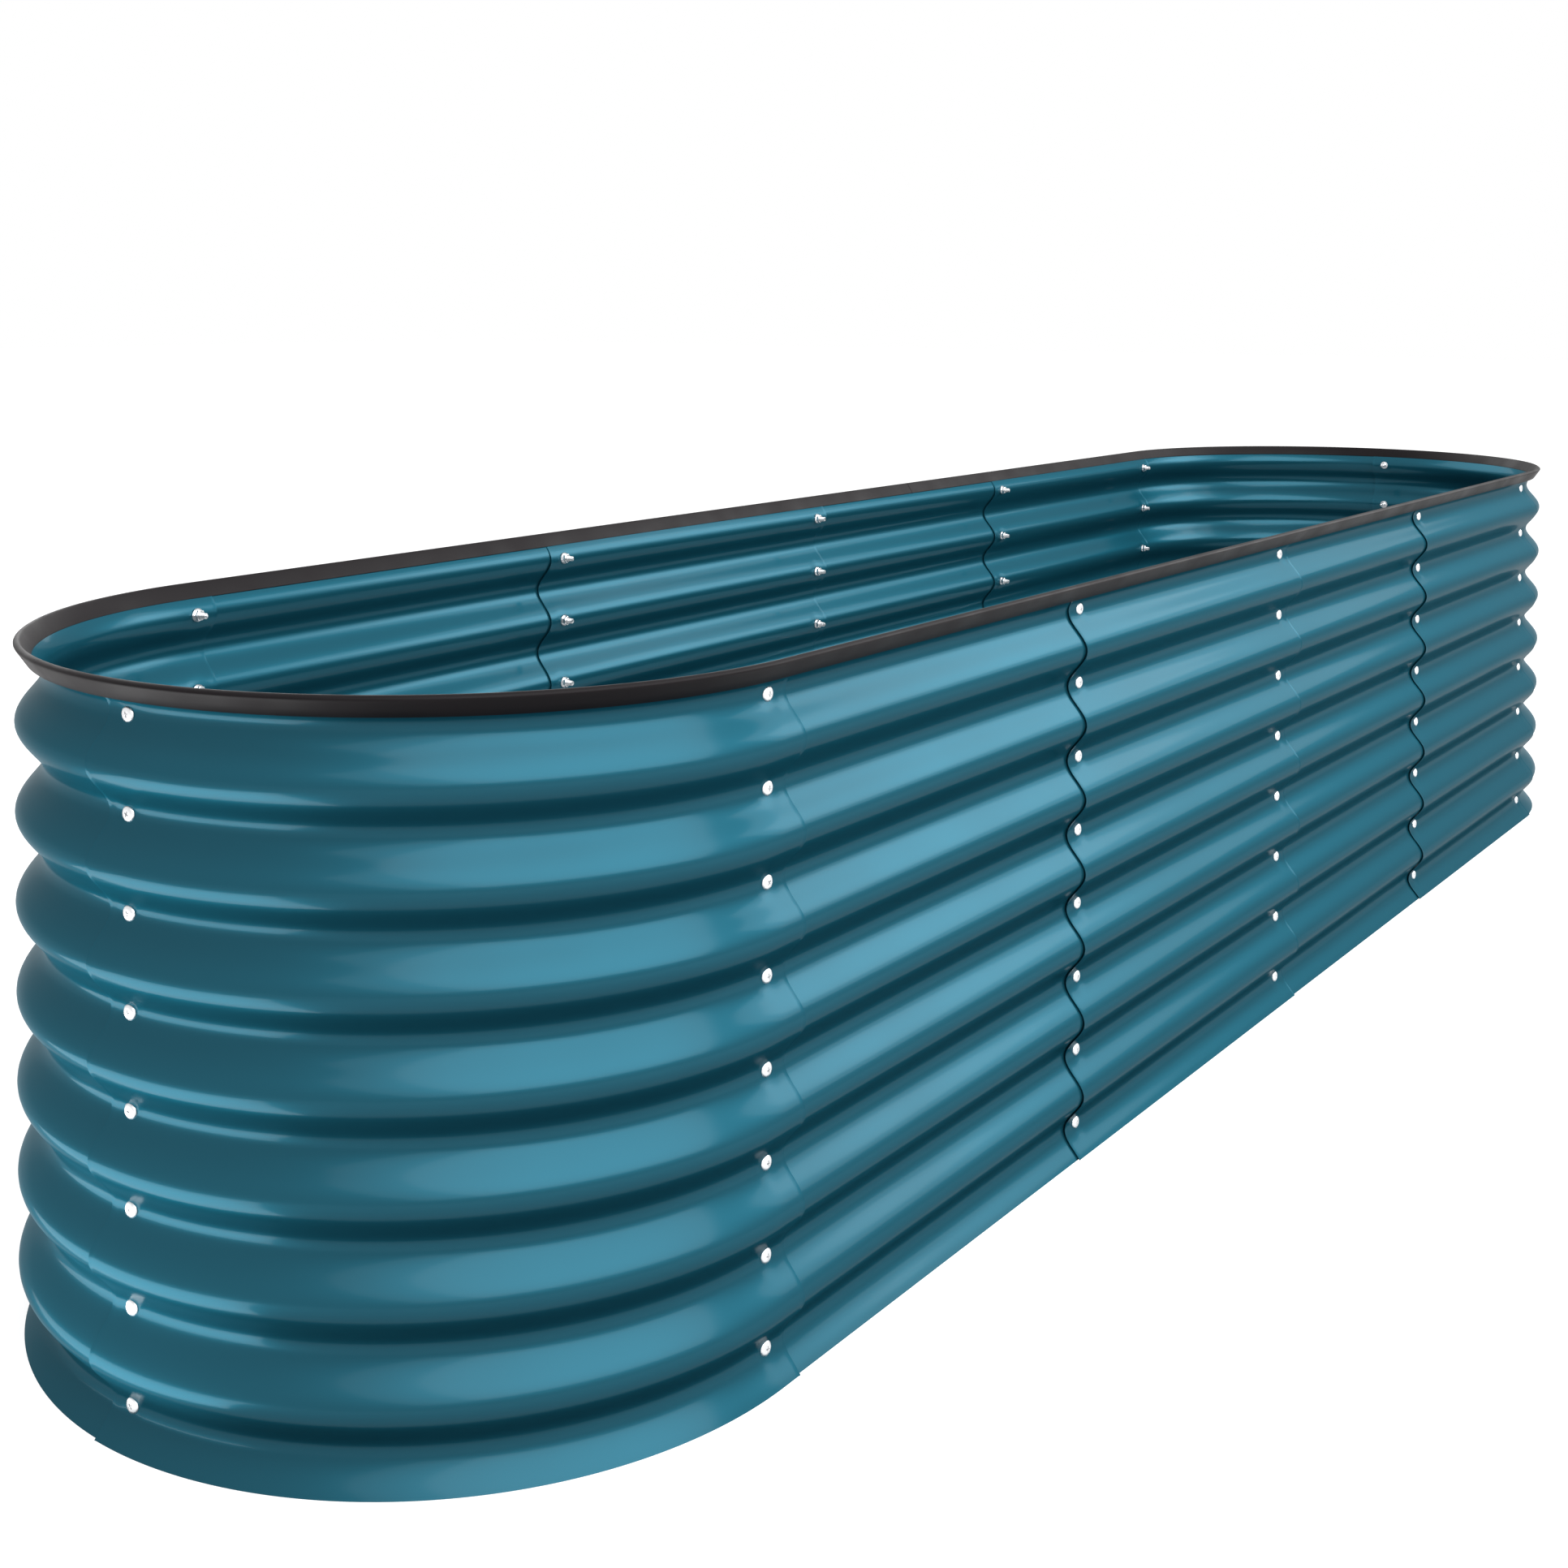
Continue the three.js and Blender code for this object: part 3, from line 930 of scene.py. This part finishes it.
@dataclass
class EdgeTrim:
    """The rubber channel pushed over the sheets' top edge, leaning out with the slope of the wave."""

    plan: OvalPlan
    edge_reach: float
    edge_height: float
    lean: float
    joint: float
    butt_gap: float = 1 * MM
    leg: float = 17 * MM
    outer_wall: float = 2 * MM
    inner_wall: float = 1.7 * MM
    slot: Pair = (-2.1 * MM, 0.3 * MM)  # its two sides, from the edge's outer face
    slot_top: float = 0.3 * MM  # above the edge
    slot_step: float = -5 * MM
    slot_mouth: float = 0.35 * MM  # above the legs' ends
    shoulder: float = -2 * MM  # where the crown's round starts
    belly: float = -8 * MM
    lip: float = 0.7 * MM  # rounding at the end of each leg
    outer_lip: tuple[Pair, ...] = ((1.0, 0.0), (0.3, 0.5), (0.0, 1.4))  # (in, up), as shares of a lip
    inner_lip: tuple[Pair, ...] = ((0.0, 1.4), (0.3, 0.4), (1.0, 0.0))
    crown: float = 2.5 * MM  # height of the round top over the edge
    crown_points: int = 9
    crown_rise: float = 0.75  # of the crown's round, as a share of its half width
    crown_powers: Pair = (0.6, 0.8)  # across and up; below 1 they make the round squarer
    step: float = 9 * MM
    finish: ExtrudedRubber = field(default_factory=ExtrudedRubber)

    def outline(self) -> list[Pair]:
        """Draws the channel's section as (across, up) points, up running with the sheet's slope.

        Returns:
            The points of the closed outline.
        """
        inner, outer = self.slot
        left, right = inner - self.inner_wall, outer + self.outer_wall
        middle, half = (left + right) / 2, (right - left) / 2
        rise = half * self.crown_rise
        low, lip = -self.leg, self.lip
        section = [(right - lip * share, low + lip * up) for share, up in self.outer_lip]
        section += [(right, self.belly), (right, self.shoulder)]
        for i in range(self.crown_points):
            angle = math.pi * i / (self.crown_points - 1)
            across = math.copysign(abs(math.cos(angle)) ** self.crown_powers[0], math.cos(angle))
            up = math.sin(angle) ** self.crown_powers[1]
            section.append((middle + half * across, self.crown - rise + rise * up))
        section.append((left, self.shoulder))
        section += [(left + lip * share, low + lip * up) for share, up in self.inner_lip]
        heights = (low + self.slot_mouth, self.slot_step, self.slot_top)
        section += [(inner, up) for up in heights] + [(outer, up) for up in reversed(heights)]
        return section

    def profile(self) -> Mesh:
        """Turns the section to the sheet's slope.

        Returns:
            Its outline: X is the distance from the edge outwards, Y the depth below it.
        """
        cosine, sine = math.cos(self.lean), math.sin(self.lean)
        points = [(a * cosine + u * sine, a * sine - u * cosine, 0.0) for a, u in self.outline()]
        mesh = bpy.data.meshes.new("trim_section")
        mesh.from_pydata(points, [(i, (i + 1) % len(points)) for i in range(len(points))], [])
        return mesh

    def tree(self) -> Tree:
        """Builds the tree that draws the section along the plan.

        Returns:
            The tree, which takes the section as its geometry.
        """
        floats = "start length edge_reach edge_height straight radius"
        tree, add, size = new_tree("drawn_trim", PIECE | {"Float": floats, "Int": "steps"})
        index = add("GeometryNodeInputIndex")
        last = add(MATH, [size["steps"], 1.0], "SUBTRACT")
        ratio = add(MATH, [index, last], "DIVIDE")
        along = add(MATH, [ratio, size["length"], size["start"]], "MULTIPLY_ADD")
        place = [along, size["edge_reach"], size["edge_height"], size["straight"], size["radius"]]
        point = add(GROUP, place, node_tree=self.plan.group())
        line = add("GeometryNodeMeshLine", {"Count": size["steps"]})
        points = add(SET_POSITION, {"Geometry": line, "Position": point.outputs["point"]})
        path = add("GeometryNodeMeshToCurve", [points])
        level_path = add("GeometryNodeSetCurveNormal", [path], mode="Z_UP")
        section = add("GeometryNodeMeshToCurve", [size["geometry"]])
        drawn = {"Curve": level_path, "Profile Curve": section, "Fill Caps": True}
        end_tree(add, add("GeometryNodeCurveToMesh", drawn), size["finish"])
        return tree

    def build(self) -> None:
        """Draws the trim round the whole edge, from one side of its butt joint to the other."""
        sizes = vars(self) | vars(self.plan) | {
            "start": self.joint + self.butt_gap / 2,
            "length": self.plan.around - self.butt_gap,
            "steps": round(self.plan.around / self.step),
            "finish": self.finish.material(),
        }
        dress(grow("rubber_edge_trim", self.profile(), self.tree(), sizes), "edge_trim")


# The tie rods.


@dataclass
class TieRods:
    """Three steel rods across the bed, each welded to a punched tab under the nuts at both ends."""

    seat: float  # reach of the sheets' inner face at a bolt
    height: float
    radius: float = 4 * MM
    offset: float = 16 * MM  # from the seam's bolts
    sides: int = 32
    tab: float = 2 * MM
    tab_half_height: float = 8 * MM
    tab_end: float = 8 * MM
    tab_corner: float = 5 * MM
    tab_points: int = 48
    hole: float = 3.5 * MM
    weld: float = 2.2 * MM
    bead: tuple[Pair, ...] = ((0.0, 1.0), (0.6, 0.75), (1.6, 0.12), (2.0, 0.0))  # (along, out), in welds
    mid_ring: float = 0.25  # from the rod's middle
    finish: ZincPlate = field(default_factory=ZincPlate)

    def directions(self, count: int) -> list[Pair]:
        """The cosine and sine of evenly spaced angles of a full turn."""
        angles = [2 * math.pi * i / count for i in range(count)]
        return [(math.cos(angle), math.sin(angle)) for angle in angles]

    def tab_outline(self, x: float) -> list[Pair]:
        """Walks round a tab's edge as seen from its hole.

        Args:
            x: where the seam's bolts are.

        Returns:
            Points (x, z from the rod's height) of a plate with round corners.
        """
        half_height, corner = self.tab_half_height, self.tab_corner
        points = []
        for dx, dz in self.directions(self.tab_points):
            side = self.offset + self.tab_end if dx > 0 else -self.tab_end
            reach = min(side / dx if dx else math.inf, half_height / abs(dz) if dz else math.inf)
            centre_x = math.copysign(abs(side) - corner, side)
            centre_z = math.copysign(half_height - corner, dz)
            if abs(dx * reach) > abs(centre_x) and abs(dz * reach) > abs(centre_z):
                along = dx * centre_x + dz * centre_z
                gap = centre_x**2 + centre_z**2 - corner**2
                reach = along + math.sqrt(max(along**2 - gap, 0.0))
            points.append((x + dx * reach, dz * reach))
        return points

    def mesh(self, x: float) -> Mesh:
        """Builds one rod with its tabs and welds.

        Args:
            x: where the seam's bolts are.

        Returns:
            The mesh.
        """
        shape = bmesh.new()
        outline = self.tab_outline(x)
        hole = [(x + self.hole * dx, self.hole * dz) for dx, dz in self.directions(self.tab_points)]
        inside = self.seat - self.tab
        for side in (-1, 1):
            edges = []
            for points, reach in ((hole, inside), (outline, inside), (outline, self.seat), (hole, self.seat)):
                edges.append([shape.verts.new((px, side * reach, self.height + pz)) for px, pz in points])
            join(shape, edges, closed=True)
        stations = [(self.weld * along - inside, self.radius + self.weld * out) for along, out in self.bead]
        stations += [(-self.mid_ring, self.radius), (0.0, self.radius)]
        stations += [(-y, radius) for y, radius in reversed(stations[:-1])]
        rings = []
        for y, radius in stations:
            around = [(radius * dx, radius * dz) for dx, dz in self.directions(self.sides)]
            rings.append([shape.verts.new((x + self.offset + u, y, self.height + v)) for u, v in around])
        join(shape, rings)
        for end in (rings[0], rings[-1]):
            shape.faces.new(end)
        return to_mesh(shape, "tie_rod")

    def build(self, places: dict[str, float]) -> None:
        """Builds every rod.

        Args:
            places: the X of each rod's seam, by CAD node.
        """
        for node, x in places.items():
            mesh = self.mesh(x)
            mesh.materials.append(self.finish.material())
            dress(smooth_piece("welded_" + node, mesh), node)


# The studio.


@dataclass(frozen=True)
class SoftBox:
    """A rectangular studio lamp, which shines from its place at its target."""

    name: str
    place: Spot
    target: Spot
    size: Pair
    radiance: float

    def build(self) -> None:
        """Hangs the lamp."""
        data = bpy.data.lights.new(self.name, "AREA")
        data.shape = "RECTANGLE"
        data.size, data.size_y = self.size
        data.energy = self.radiance * math.pi * self.size[0] * self.size[1]
        aim = (Vector(self.target) - Vector(self.place)).to_track_quat("-Z", "Y")
        show(self.name, data).matrix_world = Matrix.Translation(self.place) @ aim.to_matrix().to_4x4()


@dataclass
class Studio:
    """A pale floor in an even white room, with large lamps over it."""

    floor_side: float = 60.0
    floor_colour: str = "#969696"
    glow: Pair = (0.8, 0.97)  # of the floor, near the bed and far from it
    glow_reach: Pair = (2.5, 7.0)
    fill: float = 0.6  # of the room's light, where nothing sees the room itself
    lamps: tuple[SoftBox, ...] = (
        SoftBox("front_box", (-1.35, -2.39, 2.7), (-0.85, -0.49, 0.35), (4.2, 3.6), 2.5),
        SoftBox("front_spill", (-1.85, -2.26, 2.7), (-1.35, -0.36, 0.35), (5.6, 3.6), 1.6),
        SoftBox("right_box", (2.7, -1.9, 2.3), (-0.6, -0.4, 0.4), (1.7, 1.15), 7.2),
        SoftBox("right_spill", (2.7, -1.9, 2.3), (-0.6, -0.4, 0.4), (2.7, 2.1), 3.3),
        SoftBox("left_card", (-1.87, 0.35, 0.02), (-1.87, 0.35, 1.0), (0.66, 0.9), 5.2),
        SoftBox("back_box", (1.6, 3.2, 2.6), (0.3, 0.3, 0.3), (4.4, 2.4), 3.0),
    )

    def build(self) -> None:
        """Makes the floor, the room's light and the lamps."""
        half = self.floor_side / 2
        mesh = bpy.data.meshes.new("floor")
        corners = [(-half, -half, 0), (half, -half, 0), (half, half, 0), (-half, half, 0)]
        mesh.from_pydata(corners, [], [(0, 1, 2, 3)])
        mesh.materials.append(self.floor_material())
        floor = show("floor", mesh)
        self.room()
        for lamp in self.lamps:
            lamp.build()

    def seen(self, add: Adder) -> Node:
        """Tells whether a surface is seen, directly, in a reflection or through glass.

        Args:
            add: what adds a node to the tree.

        Returns:
            The node that gives 1 where it is and 0 elsewhere.
        """
        path = add("ShaderNodeLightPath").outputs
        seen = add(MATH, [path["Is Camera Ray"], path["Is Glossy Ray"]], "MAXIMUM")
        return add(MATH, [seen, path["Is Transmission Ray"]], "MAXIMUM")

    def floor_material(self) -> bpy.types.Material:
        """Builds the floor's paint, pale and matt, which keeps its shadows.

        Returns:
            The material, lifted to white where it is seen.
        """
        material = bpy.data.materials.new("matt_floor_paint")
        add = empty_tree(material)
        matt = add("ShaderNodeBsdfDiffuse", {"Color": linear(self.floor_colour)})
        place = add("ShaderNodeTexCoord").outputs["Object"]
        distance = add(VECTOR_MATH, [place], "LENGTH").outputs["Value"]
        reached = add(MAP_RANGE, [distance, *self.glow_reach, *self.glow])
        glow = add(MATH, [self.seen(add), reached], "MULTIPLY")
        lift = add("ShaderNodeEmission", {"Color": WHITE, "Strength": glow})
        both = add("ShaderNodeAddShader", [matt, lift])
        add("ShaderNodeOutputMaterial", {"Surface": both})
        return material

    def room(self) -> None:
        """Lights the room evenly, and shows it white."""
        world = bpy.data.worlds.new("white_room")
        bpy.context.scene.world = world
        add = empty_tree(world)
        strength = add(MAP_RANGE, [self.seen(add), 0.0, 1.0, self.fill, 1.0])
        light = add("ShaderNodeBackground", {"Color": WHITE, "Strength": strength})
        add("ShaderNodeOutputWorld", {"Surface": light})


@dataclass
class PhotoCamera:
    """The camera, placed as the photograph was taken."""

    place: Spot = (-2.5088, -1.3189, 0.9018)
    yaw_degrees: float = 55.312  # from +Y towards +X
    pitch_degrees: float = 1.841  # down
    roll_degrees: float = 0.2
    focal_pixels: float = 2507.8
    horizon_pixels: float = 450.0  # height of the picture's optical centre, from its top
    sensor: float = 36.0
    clip: Pair = (0.05, 200.0)

    def build(self) -> None:
        """Sets the scene's camera."""
        data = bpy.data.cameras.new("photo_camera")
        data.sensor_fit = "HORIZONTAL"
        data.sensor_width = self.sensor
        data.lens = self.sensor * self.focal_pixels / PHOTO_SIDE
        data.shift_y = -(PHOTO_SIDE / 2 - self.horizon_pixels) / PHOTO_SIDE
        data.clip_start, data.clip_end = self.clip
        aim = Matrix.Rotation(-math.radians(self.yaw_degrees), 4, "Z")
        aim @= Matrix.Rotation(math.radians(90 - self.pitch_degrees), 4, "X")
        aim @= Matrix.Rotation(math.radians(self.roll_degrees), 4, "Z")
        camera = show("photo_camera", data)
        camera.matrix_world = Matrix.Translation(self.place) @ aim
        bpy.context.scene.camera = camera


@dataclass
class GardenBed:
    """The whole bed: where its seams are, and which panel lies over which."""

    plan: OvalPlan
    crest_reach: float
    sheet_height: float
    side_panels: int = 4
    tied_row: int = 4  # counted up from 0
    trim_joint_seam: str = "back_3"  # the trim's joint stands half a panel to its right

    @property
    def span(self) -> float:
        """Distance between neighbouring seams of a side."""
        return self.plan.straight / self.side_panels

    def seams(self) -> dict[str, float]:
        """Finds each seam's place on the plan.

        Returns:
            The places by name; front and back seams are numbered from the left.
        """
        back_start = self.plan.straight + self.plan.half_round
        places = {"left_end": self.plan.around - self.plan.half_round / 2}
        places["right_end"] = self.plan.straight + self.plan.half_round / 2
        for i in range(self.side_panels + 1):
            places[f"front_{i + 1}"] = i * self.span
            places[f"back_{i + 1}"] = back_start + (self.side_panels - i) * self.span
        return places

    def panels(self) -> list[Panel]:
        """Lists the panels.

        Returns:
            The panels; each outer one lies over both its neighbours.
        """
        seams = self.seams()
        last = self.side_panels + 1
        left_start = seams["left_end"] - self.plan.around
        panels = [
            Panel("corner_panel_front_left", left_start, seams["front_1"], Layer.OUTER),
            Panel("corner_panel_front_right", seams[f"front_{last}"], seams["right_end"], Layer.INNER),
            Panel("corner_panel_back_right", seams["right_end"], seams[f"back_{last}"], Layer.OUTER),
            Panel("corner_panel_back_left", seams["back_1"], seams["left_end"], Layer.INNER),
        ]
        for i in range(1, last):
            front, back = (Layer.OUTER, Layer.INNER) if i % 2 == 0 else (Layer.INNER, Layer.OUTER)
            panels.append(Panel(f"side_panel_front_{i}", seams[f"front_{i}"], seams[f"front_{i + 1}"], front))
            panels.append(Panel(f"side_panel_back_{i}", seams[f"back_{i + 1}"], seams[f"back_{i}"], back))
        return panels

    def build(self) -> None:
        """Builds the sub-assemblies in order."""
        seams = self.seams()
        wall = CorrugatedWall(self.plan, self.crest_reach, self.sheet_height)
        wall.build(self.panels())
        rods = range(1, self.side_panels)
        tied = {f"{side}_{i + 1}" for side in ("front", "back") for i in rods}
        ties = TieRods(wall.nut_seat, wall.first_valley + self.tied_row * wall.pitch)
        SeamFasteners(self.plan, wall, self.tied_row, ties.tab).build(seams, tied)
        ties.build({f"tie_rod_{i}": -self.plan.straight / 2 + i * self.span for i in rods})

        # The trim leans as the wave does where the sheets are cut.
        phase = 2 * math.pi * wall.first_valley / wall.pitch
        edge_reach = self.crest_reach - wall.depth / 2 * (1 + math.cos(phase))
        slope = math.pi * wall.depth / wall.pitch * math.sin(phase)
        joint = seams[self.trim_joint_seam] - self.span / 2
        EdgeTrim(self.plan, edge_reach, self.sheet_height, math.atan(slope), joint).build()


def main() -> None:
    """Builds the bed, the studio and the camera."""
    logging.basicConfig(level=logging.INFO, format="%(name)s: %(message)s")
    left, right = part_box("corner_panel_front_left")[0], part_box("corner_panel_back_right")[1]
    front_low, front_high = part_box("side_panel_front_2")
    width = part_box("side_panel_back_1")[1].y - front_low.y
    plan = OvalPlan(straight=right.x - left.x - width, radius=width / 2)
    crest_reach = plan.radius - CorrugatedWall.edge_lift  # so that the lifted cut ends stay in the CAD's box
    PhotoCamera().build()
    GardenBed(plan, crest_reach, front_high.z).build()
    Studio().build()
    bpy.context.scene.view_settings.view_transform = "Standard"


if __name__ == "__main__":
    main()
